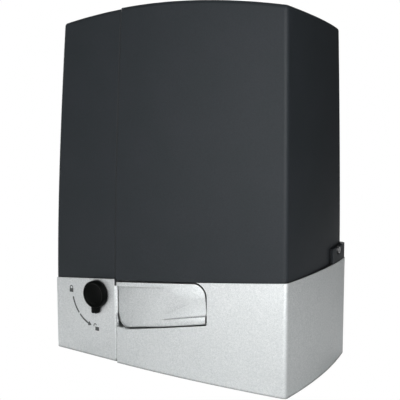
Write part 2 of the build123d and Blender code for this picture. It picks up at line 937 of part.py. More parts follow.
def make_lid_screws():
    screws = []
    for x, z in lid_lug_places():
        screw = socket_screw(lid_screw_radius, lid_screw_length, 3.5, 4)
        screws.append(Pos(x, chamber_front - lid_thick, z) * Rot(90, 0, 0) * screw)
    return group_of(screws)


def make_shaft_seal():
    front = rear_bearing_front + rear_bearing[2] + 0.2
    ring = along_y(seal_ring_outer, output_x, output_z, front, front + seal_ring_width)
    return ring - along_y(shaft_radius + shaft_clearance, output_x, output_z, front - 1, back_face + 1)


def make_motor_shell():
    shell = motor_ring(motor_radius, motor_bottom, motor_top)
    inner = stator_radius + bearing_fit
    shell = shell - along_z(inner, worm_x, wheel_y, motor_bottom - 1, motor_top + 1)
    ledge = along_z(inner + 1, worm_x, wheel_y, stator_bottom - 4, stator_bottom)
    ledge = ledge - along_z(stator_radius - 1.5, worm_x, wheel_y, motor_bottom, motor_top)
    shell = shell + ledge
    for x, y in motor_lug_places():
        shell = shell - along_z(motor_bolt_radius + 0.3, x, y, motor_bottom - 1, motor_top + 1)
    return shell


def stator_slot_angles():
    return [360 * i / stator_slots for i in range(stator_slots)]


def make_stator_core():
    core = along_z(stator_radius, 0, 0, stator_bottom, stator_top)
    core = core - along_z(stator_bore, 0, 0, stator_bottom - 1, stator_top + 1)
    slot_circle = stator_bore + 2 * slot_radius
    for angle in stator_slot_angles():
        slot = along_z(slot_radius, slot_circle, 0, stator_bottom - 1, stator_top + 1)
        mouth = bar((stator_bore - 2, -0.8, stator_bottom - 1), (slot_circle, 0.8, stator_top + 1))
        core = core - Rot(0, 0, angle) * (slot + mouth)
    return Pos(worm_x, wheel_y, 0) * core


def make_stator_windings():
    slot_circle = stator_bore + 2 * slot_radius
    inner = slot_circle - slot_radius - 1
    outer = stator_radius - 3.5
    windings = None
    for low, high in ((winding_bottom, stator_bottom - winding_clearance),
                      (stator_top + winding_clearance, winding_top)):
        ring = along_z(outer, 0, 0, low, high) - along_z(inner, 0, 0, low - 1, high + 1)
        ring = fillet(ring.edges().filter_by(GeomType.CIRCLE), 3)
        windings = ring if windings is None else windings + ring
    for angle in stator_slot_angles():
        wires = along_z(slot_radius - winding_clearance, slot_circle, 0, winding_bottom + 4, winding_top - 4)
        windings = windings + Rot(0, 0, angle) * wires
    return Pos(worm_x, wheel_y, 0) * windings


def make_end_shield():
    top = motor_top + shield_thick
    shield = motor_ring(motor_radius, motor_top, motor_top + 5)
    shield = shield + along_z(worm_low_bearing[1] + 5, worm_x, wheel_y, motor_top + 1, top)
    seat_top = motor_top + worm_low_bearing[2] + 0.2
    shield = shield - along_z(worm_low_bearing[1] + bearing_fit, worm_x, wheel_y, motor_top - 1, seat_top)
    for angle in range(0, 360, 45):
        vent = Pos(worm_x, wheel_y, 0) * Rot(0, 0, angle + 22.5) * Pos(36, 0, motor_top - 1)
        shield = shield - vent * extrude(SlotOverall(14, 5), 8)
    for x, y in motor_lug_places():
        shield = shield - along_z(motor_bolt_radius + 0.3, x, y, motor_top - 1, motor_top + 8)
    return shield


def make_motor_bolts():
    bolts = []
    for x, y in motor_lug_places():
        length = motor_top + 5 - motor_bottom + motor_flange_thick - 0.5
        bolt = socket_screw(motor_bolt_radius, length, motor_bolt_head, 5)
        bolts.append(Pos(x, y, motor_top + 5) * bolt)
    return group_of(bolts)


def worm_thread():
    """One right-handed thread with straight flanks, swept round the worm's root."""
    tangent = math.tan(math.radians(pressure_angle))
    half_pitch_width = worm_axial_pitch / 4 - mesh_backlash / 2
    root = worm_pitch_radius - 1.2 * gear_module
    tip = worm_pitch_radius + gear_module
    length = worm_turns * worm_axial_pitch
    path = Helix(worm_axial_pitch, length, worm_pitch_radius)
    low = half_pitch_width + (worm_pitch_radius - root + 0.5) * tangent
    high = half_pitch_width - (tip - worm_pitch_radius) * tangent
    points = [(root - 0.5, -low), (tip, -high), (tip, high), (root - 0.5, low)]
    profile = Plane.XZ * make_face(Polyline(*points, close=True))
    thread = sweep(profile, path=path, is_frenet=True)
    return Pos(worm_x, wheel_y, output_z - length / 2) * thread


def make_worm_shaft():
    root = worm_pitch_radius - 1.2 * gear_module
    length = worm_turns * worm_axial_pitch
    top = motor_top + worm_low_bearing[2]
    low_end = worm_low_bearing_z + worm_low_bearing[2]
    worm_low = output_z - length / 2 - worm_axial_pitch / 2
    worm_high = output_z + length / 2 + worm_axial_pitch / 2
    shaft = along_z(worm_low_bearing[0], worm_x, wheel_y, worm_low_bearing_z, top)
    shaft = shaft + along_z(worm_high_bearing[0], worm_x, wheel_y, low_end + 0.2, motor_top - 0.2)
    shaft = shaft + along_z(root, worm_x, wheel_y, worm_low, worm_high)
    shaft = shaft + along_z(worm_high_bearing[0] + 1.5, worm_x, wheel_y, worm_high, worm_high_bearing_z - 0.2)
    return shaft + worm_thread()


def make_rotor_core():
    outer = stator_bore - air_gap
    core = along_z(outer, worm_x, wheel_y, stator_bottom, stator_top)
    for low, high in ((stator_bottom - 5, stator_bottom), (stator_top, stator_top + 5)):
        core = core + along_z(outer - 3, worm_x, wheel_y, low, high)
    return core - along_z(worm_high_bearing[0] + bearing_fit, worm_x, wheel_y, motor_bottom, motor_top)


def make_run_capacitor():
    can = along_z(capacitor_radius, capacitor_x, capacitor_y, floor_thick, floor_thick + capacitor_height)
    can = fillet(can.edges().filter_by(GeomType.CIRCLE), 2)
    top = floor_thick + capacitor_height
    for side in (-1, 1):
        tag = bar((capacitor_x + side * 7 - 3, capacitor_y - 0.5, top - 1),
                  (capacitor_x + side * 7 + 3, capacitor_y + 0.5, top + 7))
        can = can + tag
    return can


def make_transformer_core():
    low = floor_thick
    high = low + transformer_height
    left = transformer_x - transformer_width / 2
    right = transformer_x + transformer_width / 2
    front = transformer_y - transformer_depth / 2
    back = transformer_y + transformer_depth / 2
    limb = transformer_limb
    core = bar((left, front, low), (right, back, high))
    for start, end in ((left + limb, transformer_x - limb), (transformer_x + limb, right - limb)):
        core = core - bar((start, front - 1, low + limb), (end, back + 1, high - limb))
    return core


def make_transformer_coil():
    left = transformer_x - transformer_width / 2 + transformer_limb + coil_clearance
    right = transformer_x + transformer_width / 2 - transformer_limb - coil_clearance
    front = transformer_y - transformer_depth / 2
    back = transformer_y + transformer_depth / 2
    low = floor_thick + transformer_limb + coil_clearance
    high = floor_thick + transformer_height - transformer_limb - coil_clearance
    coil = bar((left, front - coil_overhang, low), (right, back + coil_overhang, high))
    coil = fillet(coil.edges().filter_by(Axis.Z), 4)
    limb = transformer_limb + coil_clearance
    return coil - bar((transformer_x - limb, front - coil_clearance, low - 1),
                      (transformer_x + limb, back + coil_clearance, high + 1))


def board_hole_places():
    x = board_width / 2 - board_margin
    low = board_bottom + board_margin
    high = board_bottom + board_height - board_margin
    return [(side * x, z) for side in (-1, 1) for z in (low, high)]


def make_board_carrier():
    back = carrier_front + carrier_thick
    half = carrier_width / 2
    plate = bar((-half, carrier_front, carrier_bottom), (half, back, carrier_top))
    plate = plate - bar((-half + 30, carrier_front - 1, carrier_bottom + 14),
                        (half - 30, back + 1, board_bottom - 12))
    for side in (-1, 1):
        inner = side * (half - post_width)
        outer = side * half
        post = bar((min(inner, outer), carrier_front - post_depth, floor_thick),
                   (max(inner, outer), carrier_front, carrier_bottom + 40))
        web = bar((min(inner, outer), carrier_front - 1, carrier_bottom),
                  (max(inner, outer), back, carrier_bottom + 40))
        plate = plate + post + web
    for x, y in post_places():
        plate = plate - along_z(post_screw_radius + 0.02, x, y, floor_thick - 1, floor_thick + 12)
    for x, z in board_hole_places():
        plate = plate + along_y(standoff_radius, x, z, carrier_front - standoff_height, carrier_front + 1)
        plate = plate - along_y(board_screw_radius + 0.02, x, z, carrier_front - 10, back + 1)
    return plate


board_back = carrier_front - standoff_height
board_front = board_back - board_thick


def make_control_board():
    half = board_width / 2
    board = bar((-half, board_front, board_bottom), (half, board_back, board_bottom + board_height))
    for x, z in board_hole_places():
        board = board - along_y(board_screw_radius + 0.2, x, z, board_front - 1, board_back + 1)
    return board


def make_board_screws():
    screws = []
    for x, z in board_hole_places():
        screw = socket_screw(board_screw_radius, 7, 2.8, 2)
        screws.append(Pos(x, board_front, z) * Rot(90, 0, 0) * screw)
    for x, y in post_places():
        screw = socket_screw(post_screw_radius, 14, post_screw_head, 0.8)
        screws.append(Pos(x, y, 1) * Rot(180, 0, 0) * screw)
    return group_of(screws)


def make_terminal_blocks():
    blocks = []
    start = -(terminal_count - 1) / 2 * terminal_pitch
    low = board_bottom + 13
    for i in range(terminal_count):
        x = start + i * terminal_pitch
        block = bar((x - terminal_width / 2, board_front - terminal_depth, low),
                    (x + terminal_width / 2, board_front, low + terminal_height))
        for offset_x in (-6.5, 0, 6.5):
            block = block - along_y(1.6, x + offset_x, low + 9, board_front - terminal_depth - 1,
                                    board_front - terminal_depth + 3)
            block = block - along_z(1.5, x + offset_x, board_front - terminal_depth / 2, low - 1, low + 6)
        blocks.append(block)
    return group_of(blocks)


def make_relays():
    width, depth, height = relay_size
    relays = []
    for i in range(relay_count):
        x = -70 + 26 * i
        low = board_bottom + 48
        relay = bar((x - width / 2, board_front - depth, low), (x + width / 2, board_front, low + height))
        relays.append(fillet(relay.faces().sort_by(Axis.Y)[0].edges(), 0.8))
    return group_of(relays)


def make_board_capacitor():
    can = along_y(board_capacitor_radius, 10, board_bottom + 56, board_front - board_capacitor_length,
                  board_front)
    return fillet(can.faces().sort_by(Axis.Y)[0].edges(), 1)


def make_button_housing():
    half = button_size / 2
    body = bar((button_x - half, board_front - button_body, button_z - half),
               (button_x + half, board_front, button_z + half))
    return body - along_y(button_radius + button_clearance, button_x, button_z,
                          board_front - button_body - 1, board_front - 1.5)


def make_button_cap():
    front = board_front - button_body - button_reach
    cap = along_y(button_radius, button_x, button_z, front, board_front - 1.5 - button_travel - 0.3)
    return fillet(cap.faces().sort_by(Axis.Y)[0].edges(), 0.5)


def make_hinge_pin():
    return along_z(hinge_radius, hinge_x, hinge_y, pocket_floor - 1.5, seam(hinge_x) - 0.8)


def make_flap_switch():
    half = switch_width / 2
    body = bar((switch_x - half, switch_front, switch_z - switch_height / 2),
               (switch_x + half, pocket_back, switch_z + switch_height / 2))
    return body - along_y(plunger_radius + plunger_clearance, switch_x, switch_z,
                          switch_front - 1, switch_front + plunger_depth)


def make_switch_plunger():
    end = switch_front + plunger_depth - plunger_travel - 0.3
    return along_y(plunger_radius, switch_x, switch_z, plunger_front, end)


def cam_form():
    """A lobe whose radius grows evenly with the angle, so that the rod moves evenly."""
    points = []
    steps = 18
    for i in range(steps + 1):
        angle = flap_opening * i / steps
        radius = cam_base_radius + cam_rate * math.radians(angle)
        points.append((radius, 90 + angle))
    high = cam_base_radius + release_travel
    points.append((high, 90 + flap_opening + cam_run_on))
    points.append((barrel_radius - 1, 90 + flap_opening + cam_run_on + 25))
    points.append((barrel_radius - 1, 270))
    points.append((barrel_radius - 1, 0))
    points.append((barrel_radius - 1, 30))
    points.append((cam_base_radius, 60))
    flat = [(r * math.cos(math.radians(a)), r * math.sin(math.radians(a))) for r, a in points]
    face = make_face(Polyline(*flat, close=True))
    low = output_z - cam_half_height
    return Pos(hinge_x, hinge_y, low) * extrude(face, 2 * cam_half_height)


def make_release_flap():
    front = front_crown - 5
    flap = flap_prism(column_edge + flap_side_gap, 0, front, flap_back)
    flap = flap & extrude(base_outline(), cover_height)

    step = panel_y(column_edge)
    start = column_edge - 5
    depth = flap_recess * (flap_recess_end - start) / (flap_recess_end - column_edge)
    corners = [(start, front), (flap_recess_end, front)]
    corners += [(flap_recess_end, panel_y(flap_recess_end)), (start, step + depth)]
    wedge = make_face(Polyline(*corners, close=True))
    wedge = extrude(wedge, cover_height) - above_seam(-flap_seam_gap - flap_lip)
    flap = flap - wedge

    right = flap_right + 1
    low_start = flap_low_left + flap_low_rise * (scoop_start - column_edge) + ledge_height
    low_end = flap_low_left + flap_low_rise * (right - column_edge) + ledge_height
    surface = [(scoop_start, low_start, 0), (right, low_end, scoop_depth), (right, low_end + scoop_height, 0)]
    deep = [(x, panel_y(x) + d, z) for x, z, d in surface]
    shallow = [(x, front, z) for x, z, d in surface]
    flap = flap - ConvexPolyhedron(deep + shallow)

    keep_low = along_z(flap_end_radius, hinge_x, hinge_y, 0, lip_bottom)
    keep_high = along_z(lip_end_radius, hinge_x, hinge_y, lip_bottom, cover_height)
    left_side = bar((hinge_x - 30, front, 0), (hinge_x, flap_back + 1, cover_height))
    flap = flap - (left_side - keep_low - keep_high)

    barrel_top = lip_bottom + 0.2
    barrel = along_z(barrel_radius, hinge_x, hinge_y, barrel_bottom, barrel_top)
    tail = bar((hinge_x - tail_length, hinge_y - tail_thick / 2, tail_bottom),
               (hinge_x, hinge_y + tail_thick / 2, tail_top))
    striker = bar((switch_x - striker_size / 2, flap_back - 1, switch_z - striker_size / 2),
                  (switch_x + striker_size / 2, flap_back + striker_thick, switch_z + striker_size / 2))
    flap = flap + barrel + tail + striker + cam_form()
    flap = flap - along_z(knuckle_radius + 0.4, hinge_x, hinge_y, 0, barrel_bottom)
    flap = flap - along_z(knuckle_radius + 0.8, hinge_x, hinge_y, barrel_top, cover_height)
    return flap - along_z(hinge_radius + hinge_clearance, hinge_x, hinge_y, 0, cover_height)


def make_lock_barrel():
    flange = along_y(lock_flange_radius, lock_x, lock_z, lock_seat_y - lock_flange_thick, lock_seat_y)
    tube = along_y(lock_barrel_radius, lock_x, lock_z, lock_seat_y - 1, lock_barrel_back)
    bore = along_y(lock_plug_radius + lock_clearance, lock_x, lock_z, lock_seat_y - 5, lock_barrel_back + 1)
    return flange + tube - bore


def make_lock_nut():
    face = RegularPolygon(lock_nut_across / 2, 6, major_radius=False)
    nut = Pos(lock_x, lock_nut_front + lock_nut_thick, lock_z) * Rot(90, 0, 0) * extrude(face, lock_nut_thick)
    return nut - along_y(lock_barrel_radius + 0.02, lock_x, lock_z, front_crown, pocket_back)


def make_lock_knob():
    back = knob_front + knob_thick
    knob = along_y(knob_radius, lock_x, lock_z, knob_front, back)
    knob = fillet(knob.faces().sort_by(Axis.Y)[0].edges(), 1.2)
    knob = knob - along_y(knob_radius - knob_rim, lock_x, lock_z, knob_front - 1, knob_front + knob_dish)
    grip = bar((lock_x - knob_bar_width / 2, knob_front + 0.2, lock_z - knob_radius + 2),
               (lock_x + knob_bar_width / 2, knob_front + knob_dish + 1, lock_z + knob_radius - 2))
    tab = bar((lock_x - knob_tab_width / 2, knob_front + 0.8, lock_z - knob_tab_reach),
              (lock_x + knob_tab_width / 2, back, lock_z - knob_radius + 3))
    tab = fillet(tab.faces().sort_by(Axis.Z)[0].edges().filter_by(Axis.Y), 2)
    return knob + grip + tab


def make_lock_plug():
    plug = along_y(lock_plug_radius, lock_x, lock_z, knob_front + knob_thick, tongue_front)
    return plug - along_y(lock_screw_radius + 0.02, lock_x, lock_z, tongue_front - 6, tongue_front + 1)


def make_lock_tongue():
    back = tongue_front + tongue_thick
    tongue = along_y(lock_plug_radius, lock_x, lock_z, tongue_front, back)
    tongue = tongue + bar((lock_x - tongue_width / 2, tongue_front, lock_z),
                          (lock_x + tongue_width / 2, back, lock_z + tongue_reach))
    return tongue - along_y(lock_screw_radius + 0.02, lock_x, lock_z, tongue_front - 1, back + 1)


def make_lock_screw():
    screw = socket_screw(lock_screw_radius, tongue_thick + 5, lock_screw_head, 2.5)
    return Pos(lock_x, tongue_front + tongue_thick, lock_z) * Rot(-90, 0, 0) * screw


def make_release_rod():
    end = pin_y - pin_radius - pin_gap
    nose = Pos(output_x, rod_tip + rod_radius, output_z) * Sphere(rod_radius)
    rod = nose + along_y(rod_radius, output_x, output_z, rod_tip + rod_radius, end)
    return rod + along_y(rod_head_radius, output_x, output_z, end - rod_head_length, end)


def make_release_pin():
    pin = along_x(pin_radius, pin_y, output_z, output_x - pin_length / 2, output_x + pin_length / 2)
    return chamfer(pin.edges().filter_by(GeomType.CIRCLE), 0.5)


def spring_start():
    return pin_y + pin_radius + pin_gap


def make_release_spring():
    path = Helix(spring_length / spring_turns, spring_length - 2 * spring_wire, spring_radius)
    start = path @ 0
    profile = Plane(origin=start, z_dir=path % 0) * Circle(spring_wire)
    coil = sweep(profile, path=path, is_frenet=True)
    return Pos(output_x, spring_start() + spring_wire, output_z) * Rot(-90, 0, 0) * coil


def make_output_shaft():
    shaft = along_y(shaft_nose_radius, output_x, output_z, shaft_nose_front, shaft_shoulder + 1)
    shaft = shaft + along_y(shaft_radius, output_x, output_z, shaft_shoulder, shaft_end)
    bore_end = spring_start() + spring_length + 0.2
    shaft = shaft - along_y(rod_bore_radius, output_x, output_z, shaft_nose_front - 1, bore_end)
    slot_low = pin_y - pin_radius - 0.3
    slot_high = pin_y + release_travel + pin_radius + 0.3
    half = pin_radius + dog_clearance
    shaft = shaft - bar((output_x - 20, slot_low, output_z - half),
                        (output_x + 20, slot_high, output_z + half))
    key_low = pinion_front + 2
    key_cut = bar((output_x - key_width / 2, key_low, output_z + shaft_radius - 4),
                  (output_x + key_width / 2, key_low + key_length, output_z + shaft_radius + 5))
    shaft = shaft - key_cut
    return shaft - along_y(pinion_screw_radius + 0.02, output_x, output_z,
                           shaft_end - pinion_screw_length, shaft_end + 1)


def make_wheel_hub():
    hub = along_y(hub_radius - bearing_fit, output_x, output_z, hub_front, hub_back)
    hub = hub - along_y(shaft_radius + shaft_clearance, output_x, output_z, hub_front - 1, hub_back + 1)
    half = pin_radius + dog_clearance
    return hub - bar((output_x - 30, pin_y - pin_radius - dog_clearance, output_z - half),
                     (output_x + 30, hub_back + 1, output_z + half))


def make_worm_wheel():
    radius = gear_module * wheel_teeth / 2
    lead = gear_module / (2 * worm_pitch_radius)
    turn = lead * wheel_face / 2 / radius
    sections = []
    for end in (-1, 1):
        face = involute_gear(gear_module, wheel_teeth, mesh_backlash, 1.2, end * turn)
        sections.append(Pos(0, 0, end * wheel_face / 2) * face.face())
    wheel = loft(sections, ruled=True)
    wheel = wheel - Cylinder(hub_radius, wheel_face + 2)
    return Pos(output_x, wheel_y, output_z) * Rot(-90, 0, 0) * wheel


def make_front_spacer():
    start = hub_front - 0.2 - front_spacer_length
    ring = along_y(shaft_radius + sleeve_wall, output_x, output_z, start, start + front_spacer_length)
    return ring - along_y(shaft_radius + 0.02, output_x, output_z, start - 1, start + 10)


def make_spacer_sleeve():
    start = hub_back + 0.3
    end = rear_bearing_front - 0.2
    sleeve = along_y(shaft_radius + sleeve_wall, output_x, output_z, start, end)
    sleeve = sleeve - along_y(shaft_radius + 0.02, output_x, output_z, start - 1, end + 1)
    half = pin_radius + dog_clearance
    high = pin_y + release_travel + pin_radius + 0.3
    return sleeve - bar((output_x - 30, start - 1, output_z - half), (output_x + 30, high, output_z + half))


def make_drive_pinion():
    gear = extrude(involute_gear(pinion_module, pinion_teeth, 0), pinion_face)
    gear = gear - Cylinder(shaft_radius + 0.02, 3 * pinion_face)
    slot = bar((-key_width / 2, 0, -1), (key_width / 2, shaft_radius - 4 + key_height + 0.1, pinion_face + 1))
    gear = gear - slot
    return Pos(output_x, pinion_front, output_z) * Rot(-90, 0, 0) * Rot(0, 0, 180) * gear


def make_pinion_key():
    low = output_z + shaft_radius - 4
    start = pinion_front + 2
    return bar((output_x - key_width / 2, start, low),
               (output_x + key_width / 2, start + key_length, low + key_height))


def make_pinion_washer():
    start = pinion_front + pinion_face
    ring = along_y(pinion_washer_radius, output_x, output_z, start, start + pinion_washer_thick)
    return ring - along_y(pinion_screw_radius + 0.4, output_x, output_z, start - 1, start + 10)


def make_pinion_screw():
    start = pinion_front + pinion_face + pinion_washer_thick
    screw = socket_screw(pinion_screw_radius, pinion_screw_length, pinion_screw_head, 5)
    return Pos(output_x, start, output_z) * Rot(-90, 0, 0) * screw


def make_limit_housing():
    half = limit_width / 2
    front = tower_front + tower_thick
    foot_back = back_face - base_wall - limit_clearance
    foot = bar((output_x - half, front, seam(output_x) - 6), (output_x + half, foot_back, limit_bottom + 1))
    body = bar((output_x - half, front, limit_bottom), (output_x + half, limit_back, limit_top))
    body = fillet(body.edges().filter_by(Axis.Z).group_by(Axis.Y)[-1], 2)
    body = body + foot
    body = body - bar((output_x - half + limit_wall, front + limit_wall, limit_bottom + limit_wall),
                      (output_x + half - limit_wall, limit_back - limit_wall, limit_top - limit_wall))
    slot = lever_slot_height / 2
    reach = lever_slot_width / 2
    body = body - bar((output_x - reach, lever_pivot_y, lever_z - slot),
                      (output_x + reach, limit_back + 1, lever_z + slot))
    return body - along_z(lever_pin_radius + lever_clearance, output_x, lever_pivot_y,
                          limit_bottom + 1, limit_top - 1)


def make_limit_lever():
    half = lever_hub_height / 2
    hub = along_z(lever_hub_radius, output_x, lever_pivot_y, lever_z - half, lever_z + half)
    pivot = along_z(lever_pin_radius, output_x, lever_pivot_y, limit_bottom + 1.2, limit_top - 1.2)
    rod = along_y(lever_radius, output_x, lever_z, lever_pivot_y, lever_reach)
    rod = fillet(rod.faces().sort_by(Axis.Y)[-1].edges(), 1)
    return hub + pivot + rod


def make_cover_shell():
    form = cover_form(0) & under_arch(cover_height)
    rim = [e for e in form.edges() if e.center().Z > cover_height * 0.9 and abs((e % 0.5).Z) < 0.5]
    rim = [e for e in rim if not (e.length < 2 * cover_step and abs(e.center().X - column_edge) < 12)]
    form = fillet(rim, top_round)
    hollow = cover_form(cover_wall) & under_arch(cover_height - cover_wall)
    ears = None
    for side in (-1, 1):
        top = seam(side * half_length) + ear_height
        near = half_length - ear_reach
        ear = extrude(base_outline(ear_inset), top)
        low_x, high_x = sorted((side * near, side * case_length))
        ear = ear & bar((low_x, ear_front, 0), (high_x, case_depth, case_length))
        ears = ear if ears is None else ears + ear
    shell = (form + ears) - hollow
    shell = shell & above_seam(seam_gap, column_edge + 0.5)
    for side in (-1, 1):
        z = ear_screw_z(side)
        out = side * case_length
        shell = shell - along_x(ear_screw_radius + ear_hole_clearance, ear_screw_y, z,
                                side * (half_length - ear_reach), out)
        shell = shell - along_x(ear_dish_radius, ear_screw_y, z, side * ear_seat_x(), out)
    half = limit_width / 2 + notch_clearance
    notch = bar((output_x - half, tower_front + tower_thick + 1, 0),
                (output_x + half, case_depth, limit_top + notch_clearance))
    return shell - notch


def make_cover_washers():
    washers = []
    for side in (-1, 1):
        start = side * (ear_seat_x() + washer_gap)
        end = start + side * washer_thick
        ring = along_x(washer_radius, ear_screw_y, ear_screw_z(side), start, end)
        washers.append(ring - along_x(ear_screw_radius + 0.1, ear_screw_y, ear_screw_z(side),
                                      start - side, end + side))
    return group_of(washers)


def make_cover_screws():
    screws = []
    for side in (-1, 1):
        start = side * (ear_seat_x() + washer_gap + washer_thick)
        screw = socket_screw(ear_screw_radius, ear_screw_length, screw_head_radius, screw_head_height)
        screws.append(Pos(start, ear_screw_y, ear_screw_z(side)) * Rot(0, side * 90, 0) * screw)
    return group_of(screws)


def make_cover_nuts():
    """Square nuts behind the lugs; they lift away with the cover through the lugs' open slots."""
    nuts = []
    half = nut_width / 2
    for side in (-1, 1):
        z = ear_screw_z(side)
        low_x, high_x = sorted((side * (nut_face_x(side) - nut_thick), side * nut_face_x(side)))
        nut = bar((low_x, ear_screw_y - half, z - half), (high_x, ear_screw_y + half, z + half))
        nuts.append(nut - along_x(ear_screw_radius + thread_gap, ear_screw_y, z, low_x - 1, high_x + 1))
    return group_of(nuts)


parts = {
    "base_housing": make_base_housing,
    "cover_seal": make_cover_seal,
    "cable_grommet": make_cable_grommet,
    "levelling_screws": make_levelling_screws,
    "gear_case": make_gear_case,
    "gear_case_lid": make_gear_case_lid,
    "gear_case_bolts": make_gear_case_bolts,
    "gear_case_lid_screws": make_lid_screws,
    "shaft_seal": make_shaft_seal,
    "motor_shell": make_motor_shell,
    "stator_core": make_stator_core,
    "stator_windings": make_stator_windings,
    "motor_end_shield": make_end_shield,
    "motor_bolts": make_motor_bolts,
    "worm_shaft": make_worm_shaft,
    "rotor_core": make_rotor_core,
    "run_capacitor": make_run_capacitor,
    "transformer_core": make_transformer_core,
    "transformer_coil": make_transformer_coil,
    "board_carrier": make_board_carrier,
    "control_board": make_control_board,
    "board_screws": make_board_screws,
    "terminal_blocks": make_terminal_blocks,
    "relays": make_relays,
    "board_capacitor": make_board_capacitor,
    "button_housing": make_button_housing,
    "button_cap": make_button_cap,
    "hinge_pin": make_hinge_pin,
    "flap_switch": make_flap_switch,
    "switch_plunger": make_switch_plunger,
    "release_flap": make_release_flap,
    "lock_barrel": make_lock_barrel,
    "lock_nut": make_lock_nut,
    "lock_knob": make_lock_knob,
    "lock_plug": make_lock_plug,
    "lock_tongue": make_lock_tongue,
    "lock_screw": make_lock_screw,
    "release_rod": make_release_rod,
    "release_pin": make_release_pin,
    "release_spring": make_release_spring,
    "output_shaft": make_output_shaft,
    "wheel_hub": make_wheel_hub,
    "worm_wheel": make_worm_wheel,
    "front_spacer": make_front_spacer,
    "spacer_sleeve": make_spacer_sleeve,
    "drive_pinion": make_drive_pinion,
    "pinion_key": make_pinion_key,
    "pinion_washer": make_pinion_washer,
    "pinion_screw": make_pinion_screw,
    "limit_housing": make_limit_housing,
    "limit_lever": make_limit_lever,
    "cover_shell": make_cover_shell,
    "cover_washers": make_cover_washers,
    "cover_screws": make_cover_screws,
    "cover_nuts": make_cover_nuts,
}

os.makedirs("parts", exist_ok=True)
for name, make in parts.items():
    export_step(make(), f"parts/{name}.step")

output_axis = (output_x, output_z)
worm_axis = (worm_x, wheel_y)
bearings = {
    "rear_bearing": (rear_bearing, output_axis, rear_bearing_front, "Y"),
    "front_bearing": (front_bearing, output_axis, front_bearing_front, "Y"),
    "worm_lower_bearing": (worm_low_bearing, worm_axis, worm_low_bearing_z, "Z"),
    "worm_upper_bearing": (worm_high_bearing, worm_axis, worm_high_bearing_z, "Z"),
    "motor_top_bearing": (worm_low_bearing, worm_axis, motor_top, "Z"),
}
for name, (size, place, start, along) in bearings.items():
    export_step(ball_bearing(size, place, start, along), f"parts/{name}.step")
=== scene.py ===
import bpy
import bmesh
import json
import math
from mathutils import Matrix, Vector


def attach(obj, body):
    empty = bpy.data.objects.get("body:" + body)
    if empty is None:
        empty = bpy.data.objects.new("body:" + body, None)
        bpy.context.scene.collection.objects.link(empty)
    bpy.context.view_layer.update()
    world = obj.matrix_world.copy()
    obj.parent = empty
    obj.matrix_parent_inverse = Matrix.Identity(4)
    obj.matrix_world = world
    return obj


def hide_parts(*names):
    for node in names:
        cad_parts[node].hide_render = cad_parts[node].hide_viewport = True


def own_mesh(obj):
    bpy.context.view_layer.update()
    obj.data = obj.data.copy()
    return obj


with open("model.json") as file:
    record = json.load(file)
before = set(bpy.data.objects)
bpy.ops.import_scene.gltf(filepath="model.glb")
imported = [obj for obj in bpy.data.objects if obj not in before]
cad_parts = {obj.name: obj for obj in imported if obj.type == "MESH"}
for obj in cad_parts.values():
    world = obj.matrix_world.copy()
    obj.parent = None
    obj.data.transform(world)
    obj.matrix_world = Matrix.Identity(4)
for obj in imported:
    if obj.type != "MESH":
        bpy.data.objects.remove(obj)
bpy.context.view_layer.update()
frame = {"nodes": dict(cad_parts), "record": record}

# Camera, fitted to the corners and edges of the base and the cover
CAMERA_PLACE = (0.366, -0.5849, 0.2362)
CAMERA_YAW = 31.73
CAMERA_PITCH = 5.41
CAMERA_LENS = 55.89

# Places on the case that the printed marks and the knob follow, in metres
HALF_LENGTH = 0.1435
FRONT_CORNER = -0.0755
COLUMN_END = -0.0542
COLUMN_END_Y = -0.07925
LOCK_X = -0.0785
LOCK_Z = 0.071
MARK_THICK = 0.00012

# The printed arc round the knob, its break and its arrowhead, with angles in degrees
ARC_RADIUS = 0.0384
ARC_WIDTH = 0.0019
ARC_START = 193
ARC_BREAK = 222
ARC_GAP = 3
ARC_END = 248
ARROW_SWEEP = 7

# The padlock signs: the middle of each body's lower edge in X and Z, and the shared sizes
SHUT_SIGN = (-0.1185, 0.0672)
OPEN_SIGN = (-0.0800, 0.0290)
OPEN_SHIFT = -0.0030
OPEN_TILT = 20
SIGN_WIDTH = 0.0056
SIGN_BODY = 0.0042
BOW_RADIUS = 0.0024
BOW_WIDTH = 0.0010
BOW_LEG = 0.0012
BOW_STEPS = 16

# The knob: radius and setback of each ring of its disc, and the tab that points down
KNOB_FRONT = -0.086
KNOB_SIDES = 72
KNOB_PROFILE = ((0.0030, 0.0012), (0.0112, 0.0011), (0.0118, 0.0008), (0.0124, 0.0002), (0.0130, 0.0),
                (0.0138, 0.0001), (0.0144, 0.0005), (0.0147, 0.0012), (0.0147, 0.0062))
TAB_HALF = 0.0039
TAB_REACH = 0.0208
TAB_TOP = 0.008
TAB_ROUND = 0.0014
TAB_ROUND_STEPS = 8
TAB_RINGS = ((0.0007, 0.0008), (0.0, 0.0015), (0.0, 0.0060))

# The flap's edges, rounded as on a casting
FLAP_EDGE = 0.0005
FLAP_EDGE_ANGLE = 40
SMOOTH_ANGLE = 35
MERGE_REACH = 1e-6
FLAT_ANGLE = 0.5

# The floor, the world's light and the lamps: place, size in metres, and power in watts
FLOOR_REACH = 4.0
FLOOR_DROP = 0.0002
FLOOR_COLOUR = (0.86, 0.86, 0.86, 1)
WHITE_LIGHT = (1, 1, 1, 1)
WORLD_LIGHT = 0.08
WORLD_BACK = 0.8
FADE_FROM = -0.4
FADE_TO = 0.8
LAMPS = (
    ("front", (-0.24, -1.40, 0.36), (0.8, 0.6), 6.1),
    ("right_front", (0.50, -0.70, 0.36), (0.3, 0.5), 5.3),
    ("top", (0.0, -0.3, 1.6), (1.2, 1.2), 1.0),
    ("back_left", (-0.9, 1.3, 0.8), (0.8, 0.8), 16.0),
    ("left", (-1.4, 0.4, 0.5), (0.8, 0.8), 8.0),
)
AIM = (0.0, 0.0, 0.15)


